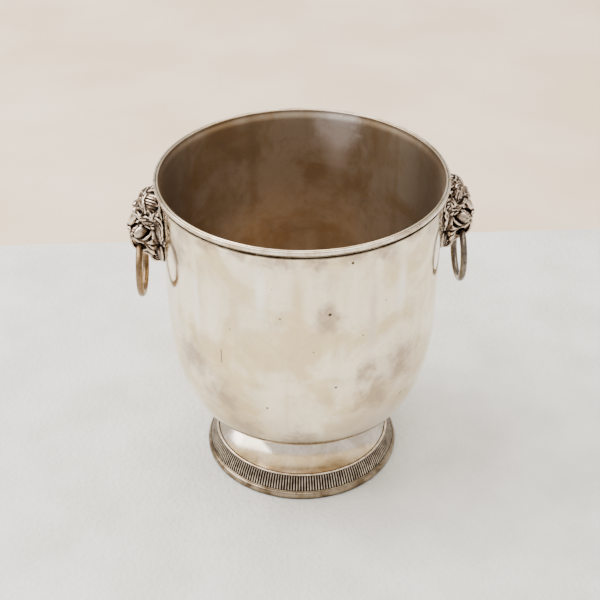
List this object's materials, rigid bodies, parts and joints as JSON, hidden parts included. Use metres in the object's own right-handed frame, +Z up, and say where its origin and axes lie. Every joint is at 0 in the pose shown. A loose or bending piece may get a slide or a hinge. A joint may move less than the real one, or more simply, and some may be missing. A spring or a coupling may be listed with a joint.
{
  "type": "champagne bucket",
  "caption": "Round silver-plated champagne bucket with a rolled rim, lion-mask ring handles and a spool foot with a reeded border.",
  "frame": {"origin": "centre of the circle on which the base rim rests, at the resting surface", "axes": "+Z up along the bucket's axis; +X through the right-hand lion mask; +Y completes a right-handed frame"},
  "size_m": [0.24, 0.2, 0.2294],
  "materials": {
    "silver_plate": "warm, lightly tarnished silver plate on brass, satin to mirror",
    "reeded_silver": "silver-plated reeded border with dark patina between the reeds",
    "cast_silver": "silver-plated casting, nearly black patina in its recesses",
    "worn_ring_metal": "silver-plated wire worn to golden brown"
  },
  "bodies": {
    "bucket": {"bowl": "silver_plate", "rim_wire": "silver_plate", "rim_moulding": "silver_plate", "foot": "silver_plate", "foot_bead_wire": "silver_plate", "reeded_band": "reeded_silver", "base_rim": "silver_plate", "lion_mask_right": "cast_silver", "lion_mask_left": "cast_silver"},
    "ring_right": {"ring_right": "worn_ring_metal"},
    "ring_left": {"ring_left": "worn_ring_metal"}
  },
  "joints": [
    {"name": "ring_right_swing", "type": "hinge", "parent": "bucket", "child": "ring_right", "pos_m": [0.1109, 0, 0.1824], "axis": [0, -1, 0], "range_deg": [-15, 160]},
    {"name": "ring_left_swing", "type": "hinge", "parent": "bucket", "child": "ring_left", "pos_m": [-0.1112, 0, 0.181], "axis": [0.0872, 0.9962, 0], "range_deg": [-15, 160]}
  ]
}
